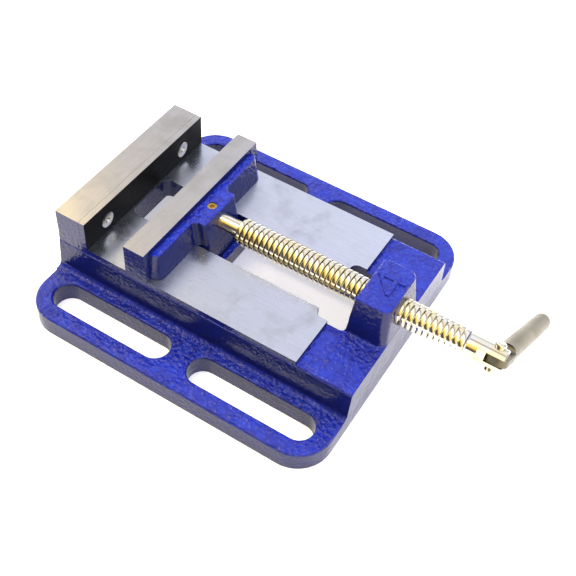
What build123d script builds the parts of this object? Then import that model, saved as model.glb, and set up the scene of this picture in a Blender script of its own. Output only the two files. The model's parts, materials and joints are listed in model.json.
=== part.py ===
from build123d import *
import os
from math import cos, radians, sin, tan

# Machine vise with 4 inch (102 mm) jaws, bolted flat to a drill press table.
# Millimetres. X runs along the screw towards the handle, Y across the jaws, Z up.
# The origin is the middle of the four hold-down slots, on the underside of the base.
# The movable jaw stands at its usual half-closed place, jaw_opening from the fixed jaw.

# ------------------------------------------------------------------ overall sizes
base_length = 176.0          # base and bed, along the screw
jaw_width = 102.0            # across both jaws
base_thickness = 12.0        # flange round the bed
flange_reach = 32.7          # how far the flange stands out from the foot of the bed
base_corner_radius = 19.0
base_edge_radius = 1.6       # rounding of the flange's top edge

# ------------------------------------------------------------------ hold-down slots
slot_radius = 8.1            # half the width of a slot
slot_end_rim = 9.5           # metal between a slot and the end of the base
slot_bridge = 13.0           # metal between the two slots of one side
slot_from_bed = 15.2         # slot centre line to the foot of the bed
slot_edge_radius = 1.2

# ------------------------------------------------------------------ bed and ways
way_height = 32.7            # machined ways above the table
way_rise = 2.4               # ways above the rough cast pads
way_slab = 12.0              # metal under the ways
bed_side_inset = 0.4         # top of the bed inside the ends of the jaws
bed_draft = 1.7              # how much wider the bed is at its foot
bed_foot_radius = 3.0
bed_edge_radius = 1.8
bed_wall = 6.6               # side walls round the hollow underside
bed_end_wall = 8.0
hollow_corner_radius = 5.0
way_end_pad = 31.3           # rough cast pad between the ways and the screw end

# ------------------------------------------------------------------ centre slot
centre_slot_half = 15.6      # the slot that the movable jaw's foot runs in
centre_slot_corner = 4.0
centre_slot_inset = 1.0      # slot's closed end, from the fixed jaw plate
keeper_wing = 4.2            # keeper beyond each side of the slot
keeper_length = 17.0
keeper_height = 9.0
keeper_clearance = 0.3       # keeper under the slab
foot_clearance = 0.5         # foot to each side of the slot
window_clearance = 0.5       # keeper to the window that it goes in by
slide_clearance = 0.08       # movable jaw over the ways

# ------------------------------------------------------------------ jaws
jaw_depth = 19.0             # top of the jaws above the ways
jaw_opening = 24.5           # gap between the jaw plates as modelled
plate_thickness = 3.7
plate_lift = 0.15            # plates stand clear of the ways
fixed_jaw_thickness = 14.6   # casting behind the fixed plate
fixed_jaw_set = 1.0          # fixed jaw inside the end of the bed
fixed_step = 0.8             # height of the little step at the back of the fixed jaw
front_block = 8.7            # machined block behind the movable plate
block_back_draft = 1.0
ledge_drop = 3.5             # rough ledge below the top of the movable jaw
wing_reach = 4.2             # ledge behind the front block, at its top
wing_inset = 5.6             # wing inside the end of the front block, at its top
wing_draft = 9.0             # degrees
wing_corner = 3.5
hub_reach = 11.0             # hub behind the front block, at its top
hub_draft = 5.0              # how much longer the hub is at the bottom
hub_top_half = 14.0
hub_corner = 2.5
hub_root_radius = 3.0        # hollow corner between hub and wings
ledge_rim_radius = 0.9

# ------------------------------------------------------------------ jaw plate screws
plate_screw_inset = 18.0     # screw to the end of the jaw
plate_screw_drop = 11.2      # screw below the top of the jaw
plate_screw_radius = 2.5
plate_screw_head = 4.5       # radius of the countersunk head
plate_screw_grip = 7.0       # thread in the casting
cross_arm = 1.1              # width of the cross recess
cross_span = 4.6
cross_depth = 1.5

# ------------------------------------------------------------------ screw spindle
screw_radius = 7.0           # over the thread
screw_way_gap = 0.8          # underside of the thread above the ways
screw_end_chamfer = 1.2
screw_engagement = 2.5       # thread left in the boss with the jaws fully open
screw_spare = 12.1           # thread outside the boss with the jaws shut
bore_clearance = 0.35        # plain bore in the boss round the thread
journal_radius = 4.5
journal_clearance = 0.05
journal_depth = 13.0         # journal inside the hub
journal_end_gap = 0.3
fork_radius = 6.0
fork_length = 19.5
fork_end_chamfer = 0.6
fork_slot_length = 14.0
fork_slot_height = 4.6
fork_turn = 28.8             # degrees that the screw stands turned, so that the handle droops

# ------------------------------------------------------------------ screw boss
boss_length = 18.6           # along the screw, at its top
boss_set = 2.4               # its face inside the end of the base, at its top
boss_foot_left = 1.4         # foot longer than the top, jaw side
boss_wall = 8.8              # metal beside the bore, at its top
boss_crown = 5.3             # metal over the bore
boss_draft = 3.7             # each side wider at the foot
boss_corner = 4.5            # upright corners at the handle side
boss_inner_corner = 1.5      # upright corners at the jaw side
boss_edge_radius = 1.2
boss_foot_radius = 2.0
numeral_height = 15.0        # size number on the boss
numeral_width = 14.0
numeral_offset = 1.2         # off the middle of the boss
numeral_stroke = 2.0
numeral_rise = 0.5

# ------------------------------------------------------------------ retaining screw
retainer_radius = 2.5
retainer_sink = 0.4
retainer_back = 5.6          # behind the front block
point_radius = 1.7
groove_depth = 1.3
groove_side_clearance = 0.4
point_end_clearance = 0.35
socket_across = 2.5          # hexagon socket, across flats
socket_depth = 1.2

# ------------------------------------------------------------------ handle and its rivet
pin_radius = 2.3
pin_from_fork_end = 5.4
pin_clearance = 0.05
pin_head_radius = 3.0
pin_head_height = 2.3
handle_root_radius = 5.2     # the handle tapers a little towards its tip
handle_end_radius = 4.7
handle_length = 77.0         # pin to tip; the tip nearly rests on the table
handle_angle = 85.6          # degrees from the screw's line, in the plane of the fork
handle_tip_radius = 3.8
eye_radius = 4.9             # round eye of the tang, on the rivet
eye_offset = 1.85            # rod's middle line beside the rivet
tang_clearance = 0.15        # above and below the tang in the fork
shoulder_gap = 0.6           # shoulder clear of the fork's corner
shoulder_scoop = 2.2

# ------------------------------------------------------------------ places that follow
x_left = -base_length / 2
x_right = base_length / 2
bed_top_half = jaw_width / 2 - bed_side_inset
bed_foot_half = bed_top_half + bed_draft
base_width = 2 * (bed_foot_half + flange_reach)
pad_height = way_height - way_rise
way_half = bed_top_half - bed_draft * way_rise / (pad_height - base_thickness)
jaw_top = way_height + jaw_depth
slot_length = (base_length - 2 * slot_end_rim - slot_bridge) / 2
slot_spacing_x = slot_length + slot_bridge
slot_spacing_y = 2 * (bed_foot_half + slot_from_bed)

fixed_back = x_left + fixed_jaw_set
fixed_face = fixed_back + fixed_jaw_thickness
fixed_plate_face = fixed_face + plate_thickness
movable_plate_face = fixed_plate_face + jaw_opening
movable_face = movable_plate_face + plate_thickness
block_back = movable_face + front_block
ledge_height = jaw_top - ledge_drop
way_end = x_right - way_end_pad

screw_height = way_height + screw_radius + screw_way_gap
boss_right = x_right - boss_set
boss_left = boss_right - boss_length
boss_top = screw_height + screw_radius + boss_crown
boss_top_half = screw_radius + boss_wall
boss_foot_half = boss_top_half + boss_draft

slab_underside = way_height - way_slab
hollow_half = bed_top_half - bed_wall
foot_half = centre_slot_half - foot_clearance
keeper_half = centre_slot_half + keeper_wing
keeper_top = slab_underside - keeper_clearance
hub_back_top = block_back + hub_reach
hub_back_bottom = hub_back_top + hub_draft
keeper_right = hub_back_bottom + 2.7
keeper_left = keeper_right - keeper_length
window_right = boss_left
window_length = keeper_length + 2 * window_clearance
window_left = window_right - window_length
window_half = keeper_half + window_clearance
centre_slot_left = fixed_plate_face + centre_slot_inset

# travel of the movable jaw: shut to the plates meeting, open until the keeper
# reaches the window, screw_engagement short of the boss
travel_open = boss_left - screw_engagement - keeper_right
jaw_max_opening = jaw_opening + travel_open

journal_end = hub_back_top - journal_depth
thread_start = boss_left + screw_engagement - travel_open
thread_end = boss_right + jaw_opening + screw_spare
fork_end = thread_end + fork_length
pin_x = fork_end - pin_from_fork_end
groove_radius = journal_radius - groove_depth
retainer_x = block_back + retainer_back
groove_width = 2 * (point_radius + groove_side_clearance)
retainer_top = ledge_height - retainer_sink
retainer_shoulder = screw_height + journal_radius + point_end_clearance
point_end = screw_height + groove_radius + point_end_clearance
plate_height = jaw_depth - plate_lift
plate_middle = way_height + plate_lift + plate_height / 2
plate_screw_height = jaw_top - plate_screw_drop
plate_screw_cone = plate_screw_head - plate_screw_radius
plate_screw_length = plate_thickness + plate_screw_grip
plate_screw_y = jaw_width / 2 - plate_screw_inset
tang_thickness = fork_slot_height - 2 * tang_clearance
shoulder_reach = (pin_from_fork_end ** 2 + fork_radius ** 2) ** 0.5 + shoulder_gap

os.makedirs("parts", exist_ok=True)

# ================================================================== base casting
with BuildPart() as base_casting:
    # flange, with its top edge rounded all the way round
    with BuildSketch(Plane.XY):
        RectangleRounded(base_length, base_width, base_corner_radius)
    extrude(amount=base_thickness)
    fillet(base_casting.faces().sort_by(Axis.Z)[-1].edges(), base_edge_radius)
    # four long hold-down slots, two on each side
    with BuildSketch(Plane.XY):
        with GridLocations(slot_spacing_x, slot_spacing_y, 2, 2):
            SlotOverall(slot_length, 2 * slot_radius)
    extrude(amount=base_thickness, mode=Mode.SUBTRACT)
    slot_rims = base_casting.faces().sort_by(Axis.Z)[-1].inner_wires().edges()
    fillet(slot_rims, slot_edge_radius)
    # bed: drafted side walls that run the whole length, with cast-in fillets
    with BuildSketch(Plane.YZ.offset(x_left)) as bed_section:
        skirt = bed_foot_half + bed_foot_radius + 1
        with BuildLine():
            Polyline(
                (-skirt, 0),
                (skirt, 0),
                (skirt, base_thickness),
                (bed_foot_half, base_thickness),
                (bed_top_half, pad_height),
                (-bed_top_half, pad_height),
                (-bed_foot_half, base_thickness),
                (-skirt, base_thickness),
                close=True,
            )
        make_face()
        corners = bed_section.vertices()
        fillet(
            corners.filter_by(lambda v: abs(v.Y - base_thickness) < 0.01 and abs(v.X) < skirt - 0.5),
            bed_foot_radius,
        )
        fillet(bed_section.vertices().group_by(Axis.Y)[-1], bed_edge_radius)
    extrude(amount=base_length)
    # ways: machined flat, standing above the rough pads
    with BuildSketch(Plane.XY.offset(pad_height - bed_edge_radius)):
        with Locations(((fixed_back + way_end) / 2, 0)):
            Rectangle(way_end - fixed_back, 2 * way_half)
    extrude(amount=way_rise + bed_edge_radius)
    # fixed jaw, on a footing that stands out behind it as a small step
    with BuildSketch(Plane.XY.offset(pad_height - bed_edge_radius)):
        with Locations(((x_left + fixed_face) / 2, 0)):
            Rectangle(fixed_face - x_left, 2 * way_half)
    extrude(amount=way_rise + bed_edge_radius + fixed_step)
    with BuildSketch(Plane.XY.offset(way_height + fixed_step)):
        with Locations(((fixed_back + fixed_face) / 2, 0)):
            Rectangle(fixed_face - fixed_back, jaw_width)
    extrude(amount=jaw_depth - fixed_step)
    # screw boss: narrower and shorter at its top than at its foot
    foot_length = x_right - boss_left + boss_foot_left
    with BuildSketch(Plane.XY.offset(pad_height - 1)) as boss_foot_plan:
        with Locations(((boss_left - boss_foot_left + x_right) / 2, 0)):
            Rectangle(foot_length, 2 * boss_foot_half)
        fillet(boss_foot_plan.vertices().group_by(Axis.X)[-1], boss_corner)
        fillet(boss_foot_plan.vertices().group_by(Axis.X)[0], boss_inner_corner)
    with BuildSketch(Plane.XY.offset(boss_top)) as boss_top_plan:
        with Locations(((boss_left + boss_right) / 2, 0)):
            Rectangle(boss_length, 2 * boss_top_half)
        fillet(boss_top_plan.vertices().group_by(Axis.X)[-1], boss_corner)
        fillet(boss_top_plan.vertices().group_by(Axis.X)[0], boss_inner_corner)
    loft()
    fillet(base_casting.faces().sort_by(Axis.Z)[-1].edges(), boss_edge_radius)
    # cast-in fillet round the foot of the boss, on the pad
    boss_foot = base_casting.edges().filter_by(
        lambda e: abs(e.center().Z - pad_height) < 0.01
        and abs(e.center().Y) < boss_foot_half + 0.5
        and way_end + 1 < e.center().X < x_right - 0.5
    )
    fillet(boss_foot, boss_foot_radius)
    # size number, raised, upright to someone at the handle
    with BuildSketch(Plane.XY.offset(boss_top - numeral_rise)):
        head_x = (boss_left + boss_right - numeral_height) / 2
        bar_x = head_x + 0.68 * numeral_height
        stem_y = numeral_offset + 0.28 * numeral_width
        with Locations((head_x + numeral_height / 2, stem_y)):
            Rectangle(numeral_height, numeral_stroke)
        with Locations((bar_x, numeral_offset)):
            Rectangle(numeral_stroke, numeral_width)
        foot_y = numeral_offset - 0.5 * numeral_width
        slope = 1.25 * numeral_stroke
        with BuildLine():
            Polyline(
                (head_x, stem_y),
                (head_x + slope, stem_y),
                (bar_x + numeral_stroke / 2, foot_y),
                (bar_x - numeral_stroke / 2, foot_y),
                close=True,
            )
        make_face()
    extrude(amount=2 * numeral_rise)
    # hollow underside, open to the table
    with BuildSketch(Plane.XY):
        RectangleRounded(base_length - 2 * bed_end_wall, 2 * hollow_half, hollow_corner_radius)
    extrude(amount=slab_underside, mode=Mode.SUBTRACT)
    # centre slot through the ways, and the wide window at its screw end
    with BuildSketch(Plane.XY.offset(slab_underside - 1)):
        with Locations(((centre_slot_left + window_right) / 2, 0)):
            RectangleRounded(window_right - centre_slot_left, 2 * centre_slot_half, centre_slot_corner)
        with Locations(((window_left + window_right) / 2, 0)):
            RectangleRounded(window_length, 2 * window_half, centre_slot_corner)
    extrude(amount=way_slab + 1 + boss_crown, mode=Mode.SUBTRACT)
    # bore for the screw
    with BuildSketch(Plane.YZ.offset(boss_left - boss_foot_left - 5)):
        with Locations((0, screw_height)):
            Circle(screw_radius + bore_clearance)
    extrude(amount=x_right - boss_left + boss_foot_left + 10, mode=Mode.SUBTRACT)
    # tapped holes for the jaw plate screws
    with BuildSketch(Plane.YZ.offset(fixed_face - plate_screw_grip)):
        with Locations((plate_screw_y, plate_screw_height), (-plate_screw_y, plate_screw_height)):
            Circle(plate_screw_radius)
    extrude(amount=plate_screw_grip + 1, mode=Mode.SUBTRACT)
base_casting.part.label = "base_casting"
export_step(base_casting.part, "parts/base_casting.step")


# ================================================================== jaw plates
with BuildPart() as fixed_jaw_plate:
    with BuildSketch(Plane.YZ.offset(fixed_face)):
        with Locations((0, plate_middle)):
            Rectangle(jaw_width, plate_height)
    extrude(amount=plate_thickness)
    with Locations(Plane((fixed_plate_face, 0, plate_screw_height), x_dir=(0, 1, 0), z_dir=(1, 0, 0))):
        with Locations((plate_screw_y, 0), (-plate_screw_y, 0)):
            CounterSinkHole(plate_screw_radius, plate_screw_head)
fixed_jaw_plate.part.label = "fixed_jaw_plate"
export_step(fixed_jaw_plate.part, "parts/fixed_jaw_plate.step")

with BuildPart() as movable_jaw_plate:
    with BuildSketch(Plane.YZ.offset(movable_plate_face)):
        with Locations((0, plate_middle)):
            Rectangle(jaw_width, plate_height)
    extrude(amount=plate_thickness)
    with Locations(Plane((movable_plate_face, 0, plate_screw_height), x_dir=(0, 1, 0), z_dir=(-1, 0, 0))):
        with Locations((plate_screw_y, 0), (-plate_screw_y, 0)):
            CounterSinkHole(plate_screw_radius, plate_screw_head)
movable_jaw_plate.part.label = "movable_jaw_plate"
export_step(movable_jaw_plate.part, "parts/movable_jaw_plate.step")

# ================================================================== jaw plate screws
with BuildPart() as fixed_jaw_screws:
    for y in (plate_screw_y, -plate_screw_y):
        with BuildSketch(Plane((0, y, 0), x_dir=(1, 0, 0), z_dir=(0, -1, 0))):
            with BuildLine():
                Polyline(
                    (fixed_plate_face, plate_screw_height),
                    (fixed_plate_face, plate_screw_height + plate_screw_head),
                    (fixed_plate_face - plate_screw_cone, plate_screw_height + plate_screw_radius),
                    (fixed_plate_face - plate_screw_length, plate_screw_height + plate_screw_radius),
                    (fixed_plate_face - plate_screw_length, plate_screw_height),
                    close=True,
                )
            make_face()
        revolve(axis=Axis((0, y, plate_screw_height), (1, 0, 0)))
        head = Plane((fixed_plate_face, y, plate_screw_height), x_dir=(0, 1, 0), z_dir=(1, 0, 0))
        with BuildSketch(head):
            Rectangle(cross_span, cross_arm)
            Rectangle(cross_arm, cross_span)
        extrude(amount=-cross_depth, mode=Mode.SUBTRACT)
fixed_jaw_screws.part.label = "fixed_jaw_screws"
export_step(fixed_jaw_screws.part, "parts/fixed_jaw_screws.step")

with BuildPart() as movable_jaw_screws:
    for y in (plate_screw_y, -plate_screw_y):
        with BuildSketch(Plane((0, y, 0), x_dir=(1, 0, 0), z_dir=(0, -1, 0))):
            with BuildLine():
                Polyline(
                    (movable_plate_face, plate_screw_height),
                    (movable_plate_face, plate_screw_height + plate_screw_head),
                    (movable_plate_face + plate_screw_cone, plate_screw_height + plate_screw_radius),
                    (movable_plate_face + plate_screw_length, plate_screw_height + plate_screw_radius),
                    (movable_plate_face + plate_screw_length, plate_screw_height),
                    close=True,
                )
            make_face()
        revolve(axis=Axis((0, y, plate_screw_height), (1, 0, 0)))
        head = Plane((movable_plate_face, y, plate_screw_height), x_dir=(0, 1, 0), z_dir=(-1, 0, 0))
        with BuildSketch(head):
            Rectangle(cross_span, cross_arm)
            Rectangle(cross_arm, cross_span)
        extrude(amount=-cross_depth, mode=Mode.SUBTRACT)
movable_jaw_screws.part.label = "movable_jaw_screws"
export_step(movable_jaw_screws.part, "parts/movable_jaw_screws.step")

# ================================================================== movable jaw casting
jaw_seat = way_height + slide_clearance
with BuildPart() as movable_jaw_casting:
    # machined front block, its back face slightly drafted
    with BuildSketch(Plane.XZ.offset(-jaw_width / 2)):
        with BuildLine():
            Polyline(
                (movable_face, jaw_seat),
                (block_back + block_back_draft, jaw_seat),
                (block_back, jaw_top),
                (movable_face, jaw_top),
                close=True,
            )
        make_face()
    extrude(amount=jaw_width)
    # rough wings behind it, drafted, with rounded ends
    wing_height = ledge_height - jaw_seat
    wing_grow = wing_height * tan(radians(wing_draft))
    wing_back = block_back + wing_reach + wing_grow
    wing_end = jaw_width / 2 - wing_inset + wing_grow
    with BuildSketch(Plane.XY.offset(jaw_seat)):
        with Locations(((movable_face + wing_back) / 2 + 1, 0)):
            RectangleRounded(wing_back - movable_face - 2, 2 * wing_end, wing_corner + wing_grow)
    extrude(amount=wing_height, taper=wing_draft)
    # hub for the end of the screw; it goes down through the ways as the foot
    with BuildSketch(Plane.XY.offset(keeper_top - 2)):
        with Locations(((movable_face + hub_back_bottom) / 2 + 1, 0)):
            RectangleRounded(hub_back_bottom - movable_face - 2, 2 * foot_half, hub_corner)
    with BuildSketch(Plane.XY.offset(ledge_height)):
        with Locations(((movable_face + hub_back_top) / 2 + 1, 0)):
            RectangleRounded(hub_back_top - movable_face - 2, 2 * hub_top_half, hub_corner)
    loft()
    # cast-in hollow corners between hub and wings
    roots = movable_jaw_casting.edges().filter_by(
        lambda e: abs(abs(e.center().Y) - (hub_top_half + foot_half) / 2) < 1.0
        and e.center().X > block_back + wing_reach
        and jaw_seat + 3 < e.center().Z < ledge_height - 3
    )
    fillet(roots.filter_by(lambda e: e.center().X < hub_back_top - 1), hub_root_radius)
    # rounded rim of the ledge
    rim = movable_jaw_casting.edges().filter_by(
        lambda e: abs(e.center().Z - ledge_height) < 0.01 and e.center().X > block_back + 0.8
    )
    fillet(rim, ledge_rim_radius)
    # keeper: the T under the ways that holds the jaw down
    with BuildSketch(Plane.XY.offset(keeper_top - keeper_height)):
        with Locations(((keeper_left + keeper_right) / 2, 0)):
            RectangleRounded(keeper_length, 2 * keeper_half, hub_corner)
    extrude(amount=keeper_height)
    # blind bore for the plain end of the screw
    with BuildSketch(Plane.YZ.offset(journal_end - journal_end_gap)):
        with Locations((0, screw_height)):
            Circle(journal_radius + journal_clearance)
    extrude(amount=journal_depth + hub_draft + 5, mode=Mode.SUBTRACT)
    # tapped hole for the retaining screw, down to the bore
    with BuildSketch(Plane.XY.offset(screw_height)):
        with Locations((retainer_x, 0)):
            Circle(retainer_radius)
    extrude(amount=ledge_height - screw_height + 1, mode=Mode.SUBTRACT)
    # tapped holes for the plate screws
    with BuildSketch(Plane.YZ.offset(movable_face - 1)):
        with Locations((plate_screw_y, plate_screw_height), (-plate_screw_y, plate_screw_height)):
            Circle(plate_screw_radius)
    extrude(amount=plate_screw_grip + 1, mode=Mode.SUBTRACT)
movable_jaw_casting.part.label = "movable_jaw_casting"
export_step(movable_jaw_casting.part, "parts/movable_jaw_casting.step")

# ================================================================== retaining screw
with BuildPart() as retaining_screw:
    with BuildSketch(Plane.XY.offset(point_end)):
        with Locations((retainer_x, 0)):
            Circle(point_radius)
    extrude(amount=retainer_shoulder - point_end)
    with BuildSketch(Plane.XY.offset(retainer_shoulder)):
        with Locations((retainer_x, 0)):
            Circle(retainer_radius)
    extrude(amount=retainer_top - retainer_shoulder)
    with BuildSketch(Plane.XY.offset(retainer_top)):
        with Locations((retainer_x, 0)):
            RegularPolygon(socket_across / 2, 6, major_radius=False)
    extrude(amount=-socket_depth, mode=Mode.SUBTRACT)
retaining_screw.part.label = "retaining_screw"
export_step(retaining_screw.part, "parts/retaining_screw.step")

# ================================================================== spindle
# directions at the fork, which stands turned with the screw
rivet_up = Vector(0, sin(radians(fork_turn)), cos(radians(fork_turn)))
down_slope = Vector(0, cos(radians(fork_turn)), -sin(radians(fork_turn)))
pivot = Vector(pin_x, 0, screw_height)
with BuildPart() as spindle:
    # turned shape: grooved journal, threaded length, fork end
    with BuildSketch(Plane.XZ) as half_section:
        with BuildLine():
            Polyline(
                (journal_end, screw_height),
                (journal_end, screw_height + journal_radius),
                (retainer_x - groove_width / 2, screw_height + journal_radius),
                (retainer_x - groove_width / 2, screw_height + groove_radius),
                (retainer_x + groove_width / 2, screw_height + groove_radius),
                (retainer_x + groove_width / 2, screw_height + journal_radius),
                (thread_start, screw_height + journal_radius),
                (thread_start, screw_height + screw_radius - screw_end_chamfer),
                (thread_start + screw_end_chamfer, screw_height + screw_radius),
                (thread_end - screw_end_chamfer, screw_height + screw_radius),
                (thread_end, screw_height + fork_radius),
                (fork_end - fork_end_chamfer, screw_height + fork_radius),
                (fork_end, screw_height + fork_radius - fork_end_chamfer),
                (fork_end, screw_height),
                close=True,
            )
        make_face()
    revolve(axis=Axis((0, 0, screw_height), (1, 0, 0)))
    # slot for the handle's tang, open at the end
    slot_middle = fork_end - fork_slot_length / 2 + 0.5
    with BuildSketch(Plane((slot_middle, 0, screw_height), x_dir=(1, 0, 0), z_dir=down_slope)):
        Rectangle(fork_slot_length + 1, fork_slot_height)
    extrude(amount=fork_radius + 1, both=True, mode=Mode.SUBTRACT)
    # rivet hole through both arms
    with BuildSketch(Plane(pivot, x_dir=(1, 0, 0), z_dir=rivet_up)):
        Circle(pin_radius)
    extrude(amount=fork_radius + 1, both=True, mode=Mode.SUBTRACT)
spindle.part.label = "spindle"
export_step(spindle.part, "parts/spindle.step")

# ================================================================== handle rivet
with BuildPart() as handle_rivet:
    across_fork = Plane(pivot, x_dir=(1, 0, 0), z_dir=rivet_up)
    head_reach = fork_radius + pin_head_height
    # set heads at both ends, domed
    with BuildSketch(across_fork):
        Circle(pin_head_radius)
    extrude(amount=head_reach, both=True)
    ends = handle_rivet.faces().filter_by(GeomType.PLANE).edges()
    fillet(ends, 0.6 * pin_head_height)
    # the heads bear on the outside of the fork and don't enter it
    with BuildSketch(Plane.YZ.offset(pin_x - pin_head_radius - 1)):
        with Locations((0, screw_height)):
            Circle(fork_radius)
    extrude(amount=2 * pin_head_radius + 2, mode=Mode.SUBTRACT)
    # shank, through both arms of the fork
    with BuildSketch(across_fork):
        Circle(pin_radius)
    extrude(amount=fork_radius + 0.5 * pin_head_height, both=True)
handle_rivet.part.label = "handle_rivet"
export_step(handle_rivet.part, "parts/handle_rivet.step")

# ================================================================== handle
along = cos(radians(handle_angle)) * Vector(1, 0, 0) + sin(radians(handle_angle)) * down_slope
aside = along.cross(rivet_up)
rod_start = pivot + eye_offset * aside
with BuildPart() as handle:
    # rod, with a slight taper and a rounded tip
    with BuildSketch(Plane(rod_start + shoulder_reach * along, z_dir=along)):
        Circle(handle_root_radius)
    with BuildSketch(Plane(rod_start + handle_length * along, z_dir=along)):
        Circle(handle_end_radius)
    loft()
    tip = handle.faces().sort_by(Axis(rod_start, along))[-1]
    fillet(tip.edges(), handle_tip_radius)
    # flat tang that turns in the fork: a round eye, and a bar as wide as the rod
    with BuildSketch(Plane(pivot, x_dir=along, z_dir=rivet_up)):
        Circle(eye_radius)
        with Locations((0, -eye_offset)):
            Circle(handle_root_radius)
        with Locations(((shoulder_reach + shoulder_scoop) / 2, -eye_offset)):
            Rectangle(shoulder_reach + shoulder_scoop, 2 * handle_root_radius)
    extrude(amount=tang_thickness / 2, both=True)
    # hollow run-out of the cutter where the tang meets the round rod
    for side in (1, -1):
        scoop_rise = side * (tang_thickness / 2 + shoulder_scoop)
        middle = rod_start + shoulder_reach * along + scoop_rise * rivet_up
        with BuildSketch(Plane(middle, z_dir=aside)):
            Circle(shoulder_scoop)
        extrude(amount=handle_root_radius + 1, both=True, mode=Mode.SUBTRACT)
    # rivet hole
    with BuildSketch(Plane(pivot, z_dir=rivet_up)):
        Circle(pin_radius + pin_clearance)
    extrude(amount=tang_thickness, both=True, mode=Mode.SUBTRACT)
handle.part.label = "handle"
export_step(handle.part, "parts/handle.step")
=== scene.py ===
import json
import math

import bmesh
import bpy
from bpy.props import FloatProperty, FloatVectorProperty, PointerProperty, StringProperty
from mathutils import Matrix, Vector


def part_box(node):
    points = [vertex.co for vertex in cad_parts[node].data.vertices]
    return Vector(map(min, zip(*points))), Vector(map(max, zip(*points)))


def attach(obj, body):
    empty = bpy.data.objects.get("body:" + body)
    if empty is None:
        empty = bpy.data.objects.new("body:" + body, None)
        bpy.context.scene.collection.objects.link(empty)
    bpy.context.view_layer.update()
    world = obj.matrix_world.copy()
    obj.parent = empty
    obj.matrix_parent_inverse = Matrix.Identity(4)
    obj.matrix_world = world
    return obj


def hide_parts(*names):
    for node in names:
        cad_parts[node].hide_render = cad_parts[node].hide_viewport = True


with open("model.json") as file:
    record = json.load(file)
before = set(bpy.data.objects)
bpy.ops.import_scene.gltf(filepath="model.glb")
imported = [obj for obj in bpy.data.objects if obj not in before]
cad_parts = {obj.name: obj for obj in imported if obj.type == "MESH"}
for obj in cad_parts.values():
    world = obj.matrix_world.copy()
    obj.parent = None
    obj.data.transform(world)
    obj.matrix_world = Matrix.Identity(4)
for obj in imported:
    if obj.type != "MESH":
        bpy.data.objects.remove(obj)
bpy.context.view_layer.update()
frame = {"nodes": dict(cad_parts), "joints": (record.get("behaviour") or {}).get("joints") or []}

bl_info = {
    "name": "Drill Press Vise",
    "version": (1, 0, 0),
    "blender": (4, 5, 0),
    "location": "3D View > Sidebar > Vise",
    "description": "Makes the finished pieces of a machine vise round its solid frame",
    "category": "Add Mesh",
}

MM = 0.001

# places and levels, taken from the solids
JOINTS = {joint["name"]: joint for joint in frame["joints"]}
SCREW_AXIS = Vector(JOINTS["spindle_turn"]["pos_m"])
SCREW_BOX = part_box("spindle")
THREAD_RADIUS = (SCREW_BOX[1].z - SCREW_BOX[0].z) / 2
JAW_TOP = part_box("movable_jaw_casting")[1].z
WAY_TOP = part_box("fixed_jaw_plate")[0].z
PLATE_BOX = {name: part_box(name) for name in ("fixed_jaw_plate", "movable_jaw_plate")}

# each jaw, the body that it moves with, and which way its plate faces along X
JAWS = (("fixed_jaw", "base", 1.0), ("movable_jaw", "movable_jaw", -1.0))

# how the finish of a face is chosen
NEAR = 0.35 * MM  # how far a face may lie from the level that names it
SQUARE = 0.99  # how squarely a face must look along an axis
BORE_START = 50 * MM  # the screw's bore lies beyond this, in the boss
BORE_ROOM = 0.6 * MM  # its wall lies within this of the thread
BORE_TILT = 0.05  # and looks no further along the screw than this
CASTING_COATS = ("cast_enamel", "milled_iron", "ground_steel")
ENAMELLED, MILLED, GROUND = range(3)
PLATE_NEAR = 0.05 * MM  # the same as NEAR, for the front of a jaw plate
PLATE_COATS = ("black_oxide", "ground_steel", "cast_enamel")
PLATE_FRONT, PLATE_EDGE, PLATE_END = range(3)

# meshes
WELD = 0.002 * MM  # points nearer than this are one
SLIVER = 0.001 * MM  # edges shorter than this are dropped
FLAT = math.radians(0.4)  # faces that meet flatter than this are one
CRISP = 32  # edges sharper than this many degrees stay crisp
CRISP_TURNED = 30  # the same on turned and threaded pieces
ARRIS_ANGLE = math.radians(40)  # edges sharper than this get an arris
HANDLE_ARRIS = 0.25 * MM
GRUB_ARRIS = 0.15 * MM

# the screw and its thread
TURN_STEPS = 40  # steps in one turn of the thread, and round a turned piece
FOOT_SUNK = 0.3 * MM  # how far the thread's foot lies under the core's surface
CREST_ROUND = 0.1 * MM
FADED = 0.12  # share of its width that the thread keeps at its very end
THREAD_SHARE = 0.98  # points beyond this share of the radius belong to the threaded length
RUN_IN = 0.2  # share of the radius that the cut-down core reaches past the thread's start
CORE_PAST = 0.2 * MM  # and how far it reaches past the thread's end
THREAD_BEFORE, THREAD_MORE = 0.5 * MM, 0.6 * MM  # the ridge starts sooner, and is longer

# the plate screws
HEAD_FLAT = 0.9  # share of the head's radius that is flat
HEAD_ROUND, HEAD_RIM = 0.12 * MM, 0.25 * MM  # depths at which the head's round and its rim end
CONE_MORE, TIP = 0.2 * MM, 0.5 * MM  # extra depth of the countersink, and the chamfered tip
SCREW_SHORT = 0.1 * MM  # how much shorter than its solid a plate screw is
HEAD_SUNK = 0.05 * MM  # how far a head lies under the plate's face
FIRST_STOP, NEXT_STOP = 0.3, 1.9  # turn of the first cross recess, and of each one after it
# blades that cut the recess: half length, half width and level, at the top and at the foot
BLADE = ((2.35 * MM, 0.55 * MM, 0.5 * MM), (1.1 * MM, 0.35 * MM, -1.6 * MM))

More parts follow.
